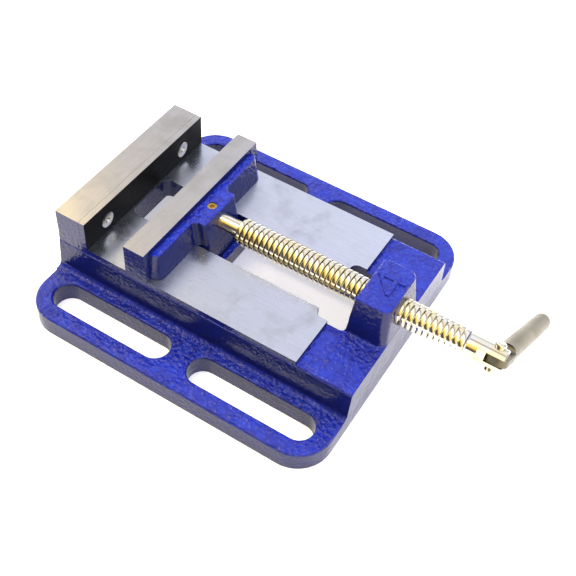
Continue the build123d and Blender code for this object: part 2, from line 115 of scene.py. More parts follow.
# the room: share of the way over the vise, from level behind it to level in front, and colour
SKY = (
    (0.0, (0.75, 0.8, 1.0, 1)), (0.12, (1.2, 1.24, 1.4, 1)), (0.30, (1.25, 1.26, 1.4, 1)),  # window
    (0.34, (0.7, 0.66, 0.68, 1)), (0.38, (0.4, 0.38, 0.42, 1)),  # dark lintel over it
    (0.42, (1.5, 1.5, 1.55, 1)), (0.57, (1.8, 1.78, 1.7, 1)),  # white ceiling
    (0.63, (1.7, 1.4, 0.5, 1)), (0.76, (1.2, 0.92, 0.28, 1)),  # warm lamps
    (0.82, (0.12, 0.1, 0.07, 1)), (0.90, (0.1, 0.09, 0.09, 1)),  # dark room in front
    (1.0, (0.2, 0.19, 0.2, 1)))
SKY_LEAN, SKY_MIDDLE = -0.3, 0.33  # the bands lean along X, about this place
# name, place, width, watts, colour, and whether polished metal shows it
LAMPS = (
    ("window", (-0.25, 1.1, 1.3), 0.9, 22.0, (1.0, 0.98, 1.0), False),
    ("ceiling", (-0.3, 0.0, 1.6), 0.7, 5.0, (1.0, 0.85, 0.6), False),
    ("strip lamp", (-0.42, -0.15, 1.15), 0.16, 1.6, (1.0, 0.84, 0.66), True),
    ("bench lamp", (-0.36, 0.14, 0.41), 0.13, 0.2, (1.0, 0.74, 0.22), True))
LAMP_AIM = Vector((0.03, 0, 0))
TABLE_HALF = 3.0  # half the width of the table's top, in metres
SENSOR = 36  # width of the camera's sensor, in millimetres
CLIP_NEAR, CLIP_FAR = 0.01, 20


# ---------------------------------------------------------------- settings
class ViseSizes(bpy.types.PropertyGroup):
    """Sizes of the detail that the solids leave plain."""

    pitch: FloatProperty(
        name="Thread pitch", description="How far the jaw moves for one turn of the screw",
        default=3.0 * MM, min=1.0 * MM, max=6.0 * MM, precision=4, unit="LENGTH")
    thread_depth: FloatProperty(
        name="Thread depth", description="Height of the thread over its root",
        default=1.75 * MM, min=0.4 * MM, max=3.0 * MM, precision=4, unit="LENGTH")
    crest: FloatProperty(
        name="Crest width", description="Width of the thread at its crest",
        default=0.6 * MM, min=0.1 * MM, max=2.0 * MM, precision=4, unit="LENGTH")
    root: FloatProperty(
        name="Root width", description="Width of the thread where it meets the core",
        default=2.35 * MM, min=0.5 * MM, max=4.0 * MM, precision=4, unit="LENGTH")
    run_out: FloatProperty(
        name="Thread run-out", description="Share of a turn in which the thread fades at its ends",
        default=0.5, min=0.1, max=2.0)
    arris: FloatProperty(
        name="Machined arris", description="Width of the small chamfer along machined edges",
        default=0.35 * MM, min=0.05 * MM, max=1.0 * MM, precision=5, unit="LENGTH")
    plate_arris: FloatProperty(
        name="Plate arris", description="Width of the ground chamfer round the jaw plates",
        default=0.3 * MM, min=0.05 * MM, max=1.0 * MM, precision=5, unit="LENGTH")
    head_radius: FloatProperty(
        name="Plate screw head", description="Radius of the countersunk head of a plate screw",
        default=4.4 * MM, min=2.0 * MM, max=8.0 * MM, precision=4, unit="LENGTH")
    shank_radius: FloatProperty(
        name="Plate screw shank", description="Radius of a plate screw over its thread",
        default=2.45 * MM, min=1.0 * MM, max=5.0 * MM, precision=4, unit="LENGTH")


class ViseColours(bpy.types.PropertyGroup):
    """Colours of the finishes, as sRGB hex values."""

    enamel: StringProperty(
        name="Enamel", description="Blue enamel where it lies thick", default="#1A31B2")
    enamel_thin: StringProperty(
        name="Thin enamel", description="Blue enamel where it lies thin", default="#0F1B8A")
    # painted shade: the dark blue that upright walls turn to, by how steeply they stand
    enamel_wall_shade: StringProperty(
        name="Wall enamel", description="Blue enamel on upright walls", default="#0A0F42")
    iron: StringProperty(
        name="Machined iron", description="Milled and worn cast iron", default="#C6CAD6")
    iron_smudge: StringProperty(
        name="Smudged iron", description="Oily finger marks on the milled iron", default="#8F929E")
    steel: StringProperty(
        name="Ground steel", description="Ground edges of the jaws", default="#BBB9B8")
    black: StringProperty(
        name="Black oxide", description="Blacked face of the jaw plates", default="#0B0A0A")
    black_rubbed: StringProperty(
        name="Rubbed black", description="Black oxide polished by the work", default="#4A4846")
    zinc: StringProperty(
        name="Zinc", description="Bright zinc plate on the screw", default="#E0DFDB")
    zinc_tint: StringProperty(
        name="Zinc tint", description="Yellow tint of the passivated zinc", default="#E3D096")
    satin: StringProperty(
        name="Handle steel", description="Plain satin steel of the handle", default="#767162")
    brass: StringProperty(
        name="Brass", description="Brass grub screw", default="#CDAE62")
    brass_stain: StringProperty(
        name="Stained brass", description="Dull stains on the brass", default="#6E5424")
    table: StringProperty(
        name="Table", description="Pale table that the vise stands on", default="#F4F3F5")
    table_cloud: StringProperty(
        name="Table clouds", description="Lighter clouds in the table's top", default="#FFFFFF")


class StageSettings(bpy.types.PropertyGroup):
    """Camera and light."""

    camera_place: FloatVectorProperty(
        name="Camera place", description="Where the camera stands",
        default=(0.17458, -0.28873, 0.40350), subtype="TRANSLATION", unit="LENGTH")
    camera_right: FloatVectorProperty(
        name="Camera right", description="Direction to the right of the picture",
        default=(0.849317, 0.524772, 0.057233), subtype="DIRECTION")
    camera_up: FloatVectorProperty(
        name="Camera up", description="Direction to the top of the picture",
        default=(-0.434553, 0.633479, 0.640210), subtype="DIRECTION")
    lens: FloatProperty(
        name="Lens", description="Focal length in millimetres on a 36 mm sensor",
        default=59.88, min=10, max=300)
    room: FloatProperty(
        name="Room light", description="Strength of the light from the room all round",
        default=1.0, min=0, max=10)
    glow: FloatProperty(
        name="Table glow", description="Light that the table itself gives, to keep it white",
        default=0.5, min=0, max=2)


def sizes():
    """The size settings of the scene."""
    return bpy.context.scene.vise_sizes


# ---------------------------------------------------------------- small helpers
def linear(hex_colour):
    """An sRGB hex value as linear red, green, blue and full alpha."""
    out = []
    for start in (1, 3, 5):
        value = int(hex_colour[start:start + 2], 16) / 255
        out.append(value / 12.92 if value <= 0.04045 else ((value + 0.055) / 1.055) ** 2.4)
    return (*out, 1.0)


def colour_of(name):
    """One of the scene's colour settings, as linear values."""
    return linear(getattr(bpy.context.scene.vise_colours, name))


def every(millimetres):
    """The scale of a pattern that repeats every so many millimetres."""
    return 1 / (millimetres * MM)


def fill(tree, node, inputs):
    """Fills a node's inputs with values, or with links from a socket or from a node's output."""
    for name, value in inputs.items():
        if isinstance(value, bpy.types.Node):
            value = next(socket for socket in value.outputs if socket.enabled)
        if isinstance(value, bpy.types.NodeSocket):
            tree.links.new(value, node.inputs[name])
        else:
            node.inputs[name].default_value = value


def add(tree, kind, inputs=None, **settings):
    """Adds one node with its settings, and fills its inputs."""
    made = tree.nodes.new(kind)
    for name, value in settings.items():
        setattr(made, name, value)
    fill(tree, made, inputs or {})
    return made


def place(name, data):
    """Puts a new object with that data in the scene."""
    made = bpy.data.objects.new(name, data)
    bpy.context.scene.collection.objects.link(made)
    return made


# ---------------------------------------------------------------- materials
def cast_enamel(tree, shader, where):
    """Gloss stoving enamel sprayed over rough cast iron.

    The enamel flows over the sand-cast skin, so the eye sees dimples about 2 mm across with small
    bright glints, deeper blue where it lies thin, and calmer gloss on the upright walls, which are
    darker by painted shade.
    """
    shape = add(tree, "ShaderNodeNewGeometry")
    facing = add(tree, "ShaderNodeSeparateXYZ", {"Vector": shape.outputs["Normal"]}).outputs["Z"]
    # dimples of the sand-cast skin 2.2 mm apart, broken up by 1.9 mm lumps and 0.8 mm grains
    dimples = add(tree, "ShaderNodeTexVoronoi", {
        "Vector": where, "Scale": every(2.2), "Smoothness": 0.7}, feature="SMOOTH_F1")
    lumps = add(tree, "ShaderNodeTexNoise", {
        "Vector": where, "Scale": every(1.9), "Detail": 2.0, "Roughness": 0.6})
    grains = add(tree, "ShaderNodeTexNoise", {"Vector": where, "Scale": every(0.8), "Detail": 1.0})
    relief = add(tree, "ShaderNodeMath", {0: dimples, 1: lumps}, operation="ADD")
    relief = add(tree, "ShaderNodeMath", {0: grains, 1: 0.25, 2: relief}, operation="MULTIPLY_ADD")
    # rough patches 18 mm across, so that the skin isn't even all over
    patches = add(tree, "ShaderNodeTexNoise", {"Vector": where, "Scale": every(18), "Detail": 2.0})
    patchy = add(tree, "ShaderNodeMapRange", {
        "Value": patches, "From Min": 0.35, "From Max": 0.65, "To Min": 0.3, "To Max": 1.0})
    # upright walls drew cleanly from the sand and are smoother than the tops
    level = add(tree, "ShaderNodeMapRange", {
        "Value": facing, "From Min": 0.3, "From Max": 0.95, "To Min": 0.22, "To Max": 1.0})
    strength = add(tree, "ShaderNodeMath", {0: patchy, 1: level}, operation="MULTIPLY")
    bump = add(tree, "ShaderNodeBump", {
        "Height": relief, "Strength": strength, "Distance": 1.1 * MM})
    # thick and thin enamel, following the dimples and clouds 7 mm across
    clouds = add(tree, "ShaderNodeTexNoise", {"Vector": where, "Scale": every(7), "Detail": 3.0})
    depth = add(tree, "ShaderNodeMath", {0: dimples, 1: 0.5, 2: clouds}, operation="MULTIPLY_ADD")
    cover = add(tree, "ShaderNodeMapRange", {"Value": depth, "From Min": 0.4, "From Max": 0.95})
    colour = add(tree, "ShaderNodeMix", {
        "Factor": cover, 6: colour_of("enamel"), 7: colour_of("enamel_thin")}, data_type="RGBA")
    # painted shade: the more steeply a face stands, the more its blue turns to the dark wall colour
    upright = add(tree, "ShaderNodeMath", {0: facing}, operation="ABSOLUTE")
    upright = add(tree, "ShaderNodeMapRange", {
        "Value": upright, "From Min": 0.15, "From Max": 0.8, "To Min": 0.85, "To Max": 0.0})
    colour = add(tree, "ShaderNodeMix", {
        "Factor": upright, 6: colour, 7: colour_of("enamel_wall_shade")}, data_type="RGBA")
    gloss = add(tree, "ShaderNodeMapRange", {
        "Value": clouds, "From Min": 0.3, "From Max": 0.7, "To Min": 0.1, "To Max": 0.22})
    fill(tree, shader, {"Base Color": colour, "Roughness": gloss, "Normal": bump, "IOR": 1.48})


def milled_iron(tree, shader, where):
    """Grey cast iron, face-milled and rubbed with oil.

    The eye sees a pale silver plane with fine scratches both ways, faint cutter arcs, and darker
    smudges a few centimetres across.
    """
    # scratches 22 and 14 mm long in two directions, drawn 0.35 mm wide to show
    strokes = []
    for turn, length in ((0.5, 22), (-1.1, 14)):
        along = add(tree, "ShaderNodeMapping", {
            "Vector": where, "Rotation": (0, 0, turn), "Scale": (every(length), every(0.35), 60)})
        strokes.append(add(tree, "ShaderNodeTexNoise", {
            "Vector": along, "Scale": 1.0, "Detail": 3.0, "Roughness": 0.7}))
    both = add(tree, "ShaderNodeMath", {0: strokes[0], 1: strokes[1]}, operation="ADD")
    # arcs of the milling cutter 1.6 mm apart; the wave counts in radians
    centre = add(tree, "ShaderNodeMapping", {"Vector": where, "Location": (0.09, 0.16, 0)})
    arcs = add(tree, "ShaderNodeTexWave", {
        "Vector": centre, "Scale": every(1.6) / 6.283, "Distortion": 1.5, "Detail": 2.0,
        "Detail Scale": 3.0}, wave_type="RINGS", rings_direction="Z").outputs["Fac"]
    relief = add(tree, "ShaderNodeMath", {0: arcs, 1: 0.25, 2: both}, operation="MULTIPLY_ADD")
    bump = add(tree, "ShaderNodeBump", {"Height": relief, "Strength": 0.22, "Distance": 0.04 * MM})
    # smudges 26 mm across with soft edges, and small 5 mm spots
    smears = add(tree, "ShaderNodeTexNoise", {
        "Vector": where, "Scale": every(26), "Detail": 4.0, "Roughness": 0.6, "Distortion": 0.8})
    spots = add(tree, "ShaderNodeTexNoise", {"Vector": where, "Scale": every(5), "Detail": 3.0})
    dirt = add(tree, "ShaderNodeMath", {0: spots, 1: 0.3, 2: smears}, operation="MULTIPLY_ADD")
    share = add(tree, "ShaderNodeMapRange", {
        "Value": dirt, "From Min": 0.68, "From Max": 0.9, "To Min": 0.0, "To Max": 0.4})
    colour = add(tree, "ShaderNodeMix", {
        "Factor": share, 6: colour_of("iron"), 7: colour_of("iron_smudge")}, data_type="RGBA")
    streak = add(tree, "ShaderNodeMapRange", {
        "Value": both, "From Min": 0.7, "From Max": 1.3, "To Min": 0.86, "To Max": 1.06})
    colour = add(tree, "ShaderNodeMix", {"Factor": 1.0, 6: colour, 7: streak},
                 data_type="RGBA", blend_type="MULTIPLY")
    gloss = add(tree, "ShaderNodeMapRange", {
        "Value": dirt, "From Min": 0.5, "From Max": 0.9, "To Min": 0.24, "To Max": 0.42})
    fill(tree, shader, {"Base Color": colour, "Roughness": gloss, "Normal": bump, "Metallic": 1.0})


def ground_steel(tree, shader, where):
    """Surface-ground steel on the tops and ends of the jaws.

    The wheel leaves straight, very fine lines along the jaw, so the sheen stretches across them.
    Real lines are about 0.05 mm apart and are drawn 0.3 mm apart to show.
    """
    along = add(tree, "ShaderNodeMapping", {
        "Vector": where, "Rotation": (0, 0, 0.06), "Scale": (every(0.3), every(30), every(0.3))})
    lines = add(tree, "ShaderNodeTexNoise", {
        "Vector": along, "Scale": 1.0, "Detail": 4.0, "Roughness": 0.7})
    smears = add(tree, "ShaderNodeTexNoise", {
        "Vector": where, "Scale": every(14), "Detail": 4.0, "Distortion": 0.6})
    bump = add(tree, "ShaderNodeBump", {"Height": lines, "Strength": 0.18, "Distance": 0.03 * MM})
    tone = add(tree, "ShaderNodeMapRange", {
        "Value": lines, "From Min": 0.3, "From Max": 0.7, "To Min": 0.86, "To Max": 1.03})
    smudge = add(tree, "ShaderNodeMapRange", {
        "Value": smears, "From Min": 0.45, "From Max": 0.7, "To Min": 1.0, "To Max": 0.84})
    shade = add(tree, "ShaderNodeMath", {0: tone, 1: smudge}, operation="MULTIPLY")
    colour = add(tree, "ShaderNodeMix", {"Factor": 1.0, 6: colour_of("steel"), 7: shade},
                 data_type="RGBA", blend_type="MULTIPLY")
    gloss = add(tree, "ShaderNodeMapRange", {
        "Value": smears, "From Min": 0.3, "From Max": 0.7, "To Min": 0.3, "To Max": 0.42})
    fill(tree, shader, {"Base Color": colour, "Roughness": gloss, "Normal": bump, "Metallic": 1.0})


def black_oxide(tree, shader, where):
    """Hot-blacked hardened steel on the faces of the jaw plates.

    A thin dark conversion coat over ground steel: nearly black, with a dull sheen, and with rubbed
    patches where the work has polished it.
    """
    along = add(tree, "ShaderNodeMapping", {"Vector": where, "Scale": (1, every(18), every(0.5))})
    lines = add(tree, "ShaderNodeTexNoise", {"Vector": along, "Scale": 1.0, "Detail": 3.0})
    rubbed = add(tree, "ShaderNodeTexNoise", {
        "Vector": where, "Scale": every(12), "Detail": 5.0, "Distortion": 1.0})
    share = add(tree, "ShaderNodeMapRange", {
        "Value": rubbed, "From Min": 0.55, "From Max": 0.8, "To Min": 0.0, "To Max": 0.22})
    colour = add(tree, "ShaderNodeMix", {
        "Factor": share, 6: colour_of("black"), 7: colour_of("black_rubbed")}, data_type="RGBA")
    gloss = add(tree, "ShaderNodeMapRange", {
        "Value": lines, "From Min": 0.3, "From Max": 0.7, "To Min": 0.45, "To Max": 0.6})
    bump = add(tree, "ShaderNodeBump", {"Height": lines, "Strength": 0.12, "Distance": 0.03 * MM})
    fill(tree, shader, {"Base Color": colour, "Roughness": gloss, "Normal": bump,
                        "Specular IOR Level": 0.12})


def bright_zinc(tree, shader, where):
    """Electroplated bright zinc with a clear to yellow passivation.

    It mirrors its surroundings a little softly, over fine turning marks, and has a faint warm tint
    in patches.
    """
    # turning marks round the screw, drawn 0.4 mm apart to show
    round_axis = add(tree, "ShaderNodeMapping", {
        "Vector": where, "Scale": (every(0.4), every(25), every(25))})
    marks = add(tree, "ShaderNodeTexNoise", {"Vector": round_axis, "Scale": 1.0, "Detail": 2.0})
    tint = add(tree, "ShaderNodeTexNoise", {"Vector": where, "Scale": every(9), "Detail": 3.0})
    share = add(tree, "ShaderNodeMapRange", {
        "Value": tint, "From Min": 0.35, "From Max": 0.65, "To Min": 0.1, "To Max": 0.75})
    colour = add(tree, "ShaderNodeMix", {
        "Factor": share, 6: colour_of("zinc"), 7: colour_of("zinc_tint")}, data_type="RGBA")
    gloss = add(tree, "ShaderNodeMapRange", {
        "Value": tint, "From Min": 0.3, "From Max": 0.7, "To Min": 0.1, "To Max": 0.18})
    bump = add(tree, "ShaderNodeBump", {"Height": marks, "Strength": 0.15, "Distance": 0.03 * MM})
    fill(tree, shader, {"Base Color": colour, "Roughness": gloss, "Normal": bump, "Metallic": 1.0})


def satin_steel(tree, shader, where):
    """Plain mild steel bar, drawn and barrelled to a satin.

    Soft grey-beige sheen with faint draw lines along the bar and duller patches from handling.
    """
    # draw lines 16 mm long, turned to lie along the bar, and drawn 0.45 mm apart to show
    along = add(tree, "ShaderNodeMapping", {
        "Vector": where, "Rotation": (math.radians(28.8), 0, 0),
        "Scale": (every(0.45), every(16), every(0.45))})
    lines = add(tree, "ShaderNodeTexNoise", {
        "Vector": along, "Scale": 1.0, "Detail": 3.0, "Roughness": 0.6})
    handled = add(tree, "ShaderNodeTexNoise", {"Vector": where, "Scale": every(10), "Detail": 4.0})
    tone = add(tree, "ShaderNodeMapRange", {
        "Value": lines, "From Min": 0.3, "From Max": 0.7, "To Min": 0.88, "To Max": 1.03})
    colour = add(tree, "ShaderNodeMix", {"Factor": 1.0, 6: colour_of("satin"), 7: tone},
                 data_type="RGBA", blend_type="MULTIPLY")
    gloss = add(tree, "ShaderNodeMapRange", {
        "Value": handled, "From Min": 0.3, "From Max": 0.7, "To Min": 0.3, "To Max": 0.42})
    bump = add(tree, "ShaderNodeBump", {"Height": lines, "Strength": 0.15, "Distance": 0.03 * MM})
    fill(tree, shader, {"Base Color": colour, "Roughness": gloss, "Normal": bump, "Metallic": 1.0})


def turned_brass(tree, shader, where):
    """Turned brass of the grub screw: warm gold, with dull stains about 1 mm across."""
    stains = add(tree, "ShaderNodeTexNoise", {"Vector": where, "Scale": every(1.2), "Detail": 3.0})
    share = add(tree, "ShaderNodeMapRange", {
        "Value": stains, "From Min": 0.4, "From Max": 0.7, "To Min": 0.0, "To Max": 0.6})
    colour = add(tree, "ShaderNodeMix", {
        "Factor": share, 6: colour_of("brass"), 7: colour_of("brass_stain")}, data_type="RGBA")
    bump = add(tree, "ShaderNodeBump", {"Height": stains, "Strength": 0.2, "Distance": 0.05 * MM})
    fill(tree, shader, {"Base Color": colour, "Roughness": 0.25, "Normal": bump, "Metallic": 1.0})


def pale_laminate(tree, shader, where):
    """Matt white laminate of the table, with faint clouds a quarter of a metre across."""
    clouds = add(tree, "ShaderNodeTexNoise", {"Vector": where, "Scale": 4.0, "Detail": 2.0})
    colour = add(tree, "ShaderNodeMix", {
        "Factor": clouds, 6: colour_of("table"), 7: colour_of("table_cloud")}, data_type="RGBA")
    fill(tree, shader, {"Base Color": colour, "Roughness": 0.7,
                        "Emission Color": (1, 0.99, 0.98, 1),
                        "Emission Strength": bpy.context.scene.vise_stage.glow})


MAKERS = {maker.__name__: maker for maker in (
    cast_enamel, milled_iron, ground_steel, black_oxide, bright_zinc, satin_steel, turned_brass,
    pale_laminate)}


def finish(name):
    """The material of that name, made once."""
    if name in bpy.data.materials:
        return bpy.data.materials[name]
    material = bpy.data.materials.new(name)
    material.use_nodes = True
    tree = material.node_tree
    tree.nodes.clear()
    shader = add(tree, "ShaderNodeBsdfPrincipled")
    add(tree, "ShaderNodeOutputMaterial", {"Surface": shader})
    MAKERS[name](tree, shader, add(tree, "ShaderNodeTexCoord").outputs["Object"])
    return material


# ---------------------------------------------------------------- mesh helpers
def smooth_by_angle(mesh, degrees):
    """Smooth shading, with edges sharper than the angle kept crisp."""
    work = bmesh.new()
    work.from_mesh(mesh)
    limit = math.radians(degrees)
    for edge in work.edges:
        edge.smooth = len(edge.link_faces) == 2 and edge.calc_face_angle(0) < limit
    for face in work.faces:
        face.smooth = True
    work.to_mesh(mesh)
    work.free()


def piece_from(node, name, materials, choose=lambda face: 0):
    """A welded copy of a solid, with a material chosen for each face."""
    mesh = bpy.data.meshes.new(name)
    work = bmesh.new()
    work.from_mesh(frame["nodes"][node].data)
    for layer in list(work.loops.layers.uv):
        work.loops.layers.uv.remove(layer)
    bmesh.ops.remove_doubles(work, verts=work.verts, dist=WELD)
    bmesh.ops.dissolve_degenerate(work, edges=work.edges, dist=SLIVER)
    bmesh.ops.dissolve_limit(work, angle_limit=FLAT, verts=work.verts, edges=work.edges)
    work.normal_update()
    for face in work.faces:
        face.material_index = choose(face)
    work.to_mesh(mesh)
    work.free()
    smooth_by_angle(mesh, CRISP)
    for material in materials:
        mesh.materials.append(finish(material))
    return place(name, mesh)


def break_edges(piece, width):
    """A small rounded chamfer along the sharp edges of a piece."""
    bevel = piece.modifiers.new("arris", "BEVEL")
    bevel.width = width
    bevel.segments = 2
    bevel.limit_method = "ANGLE"
    bevel.angle_limit = ARRIS_ANGLE
    bevel.miter_outer = "MITER_ARC"
    bevel.harden_normals = True
    bevel.use_clamp_overlap = True


def turned_object(name, profile):
    """A closed solid of revolution round Z, from points of radius and height."""
    work = bmesh.new()
    rings = []
    for radius, height in profile:
        steps = TURN_STEPS if radius else 1
        rings.append([work.verts.new((radius * math.cos(2 * math.pi * k / TURN_STEPS),
                                      radius * math.sin(2 * math.pi * k / TURN_STEPS), height))
                      for k in range(steps)])
    for upper, lower in zip(rings, rings[1:]):
        for k in range(TURN_STEPS):
            n = (k + 1) % TURN_STEPS
            corners = (upper[k % len(upper)], lower[k % len(lower)],
                       lower[n % len(lower)], upper[n % len(upper)])
            unique = list(dict.fromkeys(corners))
            if len(unique) > 2:
                work.faces.new(unique)
    return solid_from(work, name)


def tapered_blade(turn):
    """One arm of the tool that cuts a cross recess, wider at its top than at its foot."""
    work = bmesh.new()
    about = Matrix.Rotation(turn, 3, "Z")
    upper, lower = ([work.verts.new(about @ Vector((x * long, y * wide, level)))
                     for x, y in ((1, 1), (-1, 1), (-1, -1), (1, -1))]
                    for long, wide, level in BLADE)
    work.faces.new(upper)
    work.faces.new(reversed(lower))
    for here in range(4):
        there = (here + 1) % 4
        work.faces.new((upper[here], lower[here], lower[there], upper[there]))
    return solid_from(work, "recess_blade")


def solid_from(work, name):
    """Turns a closed working mesh outwards and puts it in the scene as an object."""
    bmesh.ops.recalc_face_normals(work, faces=work.faces)
    mesh = bpy.data.meshes.new(name)
    work.to_mesh(mesh)
    work.free()
    return place(name, mesh)


def settle(piece, body, slot, *nodes):
    """Hides the solids that a finished piece replaces, and fixes the piece to its body."""
    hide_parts(*nodes)
    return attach(piece, body)


def plain_copy(source, name):
    """The evaluated shape of an object as a plain mesh object, and the source removed."""
    graph = bpy.context.evaluated_depsgraph_get()
    mesh = bpy.data.meshes.new_from_object(source.evaluated_get(graph), depsgraph=graph)
    mesh.name = name
    bpy.data.objects.remove(source)
    return place(name, mesh)


def run_tree(tree, name, values):
    """Runs a Geometry Nodes tree with those input values, and returns a plain object."""
    holder = place(name + "_holder", bpy.data.meshes.new(name + "_holder"))
    modifier = holder.modifiers.new(name, "NODES")
    modifier.node_group = tree
    for item in tree.interface.items_tree:
        if item.item_type == "SOCKET" and item.in_out == "INPUT":
            modifier[item.identifier] = values[item.name]
    bpy.context.view_layer.update()
    return plain_copy(holder, name)


def new_tree(name, inputs):
    """An empty Geometry Nodes tree, and its named inputs to draw from."""
    tree = bpy.data.node_groups.new(name, "GeometryNodeTree")
    tree.interface.new_socket("Geometry", in_out="OUTPUT", socket_type="NodeSocketGeometry")
    for label, kind in inputs.items():
        tree.interface.new_socket(label, in_out="INPUT", socket_type="NodeSocket" + kind)
    given = add(tree, "NodeGroupInput")
    return tree, {label: given.outputs[label] for label in inputs}


def end_tree(tree, geometry, material):
    """Ends a tree with everything real and painted."""
    real = add(tree, "GeometryNodeRealizeInstances", {"Geometry": geometry})
    painted = add(tree, "GeometryNodeSetMaterial", {"Geometry": real, "Material": material})
    add(tree, "NodeGroupOutput", {0: painted})
    return tree


# ---------------------------------------------------------------- trees
def thread_tree():
    """A right-hand thread along X: one closed ridge wound round the core, faded at both ends."""
    tree, given = new_tree("screw_thread", {
        "Radius": "Float", "Depth": "Float", "Crest": "Float", "Root": "Float", "Pitch": "Float",
        "Length": "Float", "Run-out": "Float", "Start": "Vector", "Material": "Material"})
    turns = add(tree, "ShaderNodeMath", {0: given["Length"], 1: given["Pitch"]}, operation="DIVIDE")
    middle = add(tree, "ShaderNodeMath", {0: given["Depth"], 1: -0.5, 2: given["Radius"]},
                 operation="MULTIPLY_ADD")
    helix = add(tree, "GeometryNodeCurveSpiral", {
        "Resolution": TURN_STEPS, "Rotations": turns, "Start Radius": middle, "End Radius": middle,
        "Height": given["Length"]})
    helix = add(tree, "GeometryNodeSetCurveNormal", {"Curve": helix}, mode="Z_UP")
    # the ridge narrows in the run-out at each end
    along = add(tree, "GeometryNodeSplineParameter")
    turn_share = add(tree, "ShaderNodeMath", {0: given["Run-out"], 1: turns}, operation="DIVIDE")
    from_end = add(tree, "ShaderNodeMath", {0: 1.0, 1: along}, operation="SUBTRACT")
    nearer = add(tree, "ShaderNodeMath", {0: along, 1: from_end}, operation="MINIMUM")
    fade = add(tree, "ShaderNodeMapRange", {
        "Value": nearer, "From Min": 0.0, "From Max": turn_share, "To Min": FADED, "To Max": 1.0},
        interpolation_type="SMOOTHSTEP")
    # faded parts sink into the core, so the run-out is lower as well as narrower
    sink = add(tree, "ShaderNodeMath", {0: 1.0, 1: fade}, operation="SUBTRACT")
    sink = add(tree, "ShaderNodeMath", {0: sink, 1: given["Depth"]}, operation="MULTIPLY")
    sink = add(tree, "ShaderNodeMath", {0: sink, 1: -0.5}, operation="MULTIPLY")
    point = add(tree, "GeometryNodeInputPosition")
    flat = add(tree, "ShaderNodeVectorMath", {0: point, 1: (1, 1, 0)}, operation="MULTIPLY")
    outward = add(tree, "ShaderNodeVectorMath", {0: flat}, operation="NORMALIZE")
    shift = add(tree, "ShaderNodeVectorMath", {0: outward, "Scale": sink}, operation="SCALE")
    helix = add(tree, "GeometryNodeSetPosition", {"Geometry": helix, "Offset": shift})
    helix = add(tree, "GeometryNodeSetCurveRadius", {"Curve": helix, "Radius": fade})
    # section: a trapezium whose foot lies under the surface of the core
    foot = add(tree, "ShaderNodeMath", {0: given["Depth"], 1: FOOT_SUNK}, operation="ADD")
    section = add(tree, "GeometryNodeCurvePrimitiveQuadrilateral", {
        "Bottom Width": given["Root"], "Top Width": given["Crest"], "Height": foot, "Offset": 0.0},
        mode="TRAPEZOID")
    section = add(tree, "GeometryNodeTransform", {
        "Geometry": section, "Translation": (0, -FOOT_SUNK / 2, 0)})
    section = add(tree, "GeometryNodeFilletCurve", {
        "Curve": section, "Radius": CREST_ROUND, "Limit Radius": True, "Count": 2}, mode="POLY")
    section = add(tree, "GeometryNodeTransform", {
        "Geometry": section, "Rotation": (0, 0, -math.pi / 2)})
    ridge = add(tree, "GeometryNodeCurveToMesh", {
        "Curve": helix, "Profile Curve": section, "Fill Caps": True})
    # the helix is wound round Z, and is laid down along X
    laid = add(tree, "GeometryNodeTransform", {
        "Geometry": ridge, "Rotation": (0, math.pi / 2, 0), "Translation": given["Start"]})
    soft = add(tree, "GeometryNodeSetShadeSmooth", {"Geometry": laid})
    return end_tree(tree, soft, given["Material"])


def plate_screw_tree():
    """Two countersunk cross-head screws, one each side of the middle of a jaw plate."""
    tree, given = new_tree("plate_screws", {
        "Screw": "Object", "Middle": "Vector", "Half spacing": "Float", "Facing": "Float",
        "Turn": "Float", "Material": "Material"})
    reach = add(tree, "ShaderNodeCombineXYZ", {"Y": given["Half spacing"]})
    first = add(tree, "ShaderNodeVectorMath", {0: given["Middle"], 1: reach}, operation="SUBTRACT")
    whole = add(tree, "ShaderNodeVectorMath", {0: reach, "Scale": 2.0}, operation="SCALE")
    pair = add(tree, "GeometryNodeMeshLine", {
        "Count": 2, "Start Location": first, "Offset": whole})
    # each screw stopped at its own turn when it was driven home
    index = add(tree, "GeometryNodeInputIndex")
    stopped = add(tree, "ShaderNodeMath", {0: index, 1: NEXT_STOP, 2: given["Turn"]},
                  operation="MULTIPLY_ADD")
    spin = add(tree, "ShaderNodeCombineXYZ", {"Z": stopped})
    lean = add(tree, "ShaderNodeMath", {0: given["Facing"], 1: math.pi / 2}, operation="MULTIPLY")
    lean = add(tree, "ShaderNodeCombineXYZ", {"Y": lean})
    shape = add(tree, "GeometryNodeObjectInfo", {"Object": given["Screw"]}).outputs["Geometry"]
    screws = add(tree, "GeometryNodeInstanceOnPoints", {"Points": pair, "Instance": shape})
    screws = add(tree, "GeometryNodeRotateInstances", {"Instances": screws, "Rotation": lean})
    screws = add(tree, "GeometryNodeRotateInstances", {"Instances": screws, "Rotation": spin})
    return end_tree(tree, screws, given["Material"])


# ---------------------------------------------------------------- pieces
def base_face(face):
    """The base is milled on its ways, foot and bore, ground on its jaw's top, or enamelled."""
    middle, normal = face.calc_center_median(), face.normal
    if normal.z > SQUARE and abs(middle.z - WAY_TOP) < NEAR:
        return MILLED
    if normal.z > SQUARE and abs(middle.z - JAW_TOP) < NEAR:
        return GROUND
    if normal.z < -SQUARE and middle.z < NEAR:
        return MILLED
    around = math.hypot(middle.y, middle.z - SCREW_AXIS.z)
    bore = middle.x > BORE_START and around < THREAD_RADIUS + BORE_ROOM
    if bore and abs(normal.x) < BORE_TILT:
        return MILLED
    return ENAMELLED


def jaw_face(face):
    """The movable jaw is ground on top, milled behind its plate and where it slides."""
    middle, normal = face.calc_center_median(), face.normal
    if normal.z > SQUARE and abs(middle.z - JAW_TOP) < NEAR:
        return GROUND
    if normal.x < -SQUARE and middle.x < PLATE_BOX["movable_jaw_plate"][1].x + NEAR:
        return MILLED
    if normal.z < -SQUARE and abs(middle.z - WAY_TOP) < NEAR:
        return MILLED
    return ENAMELLED


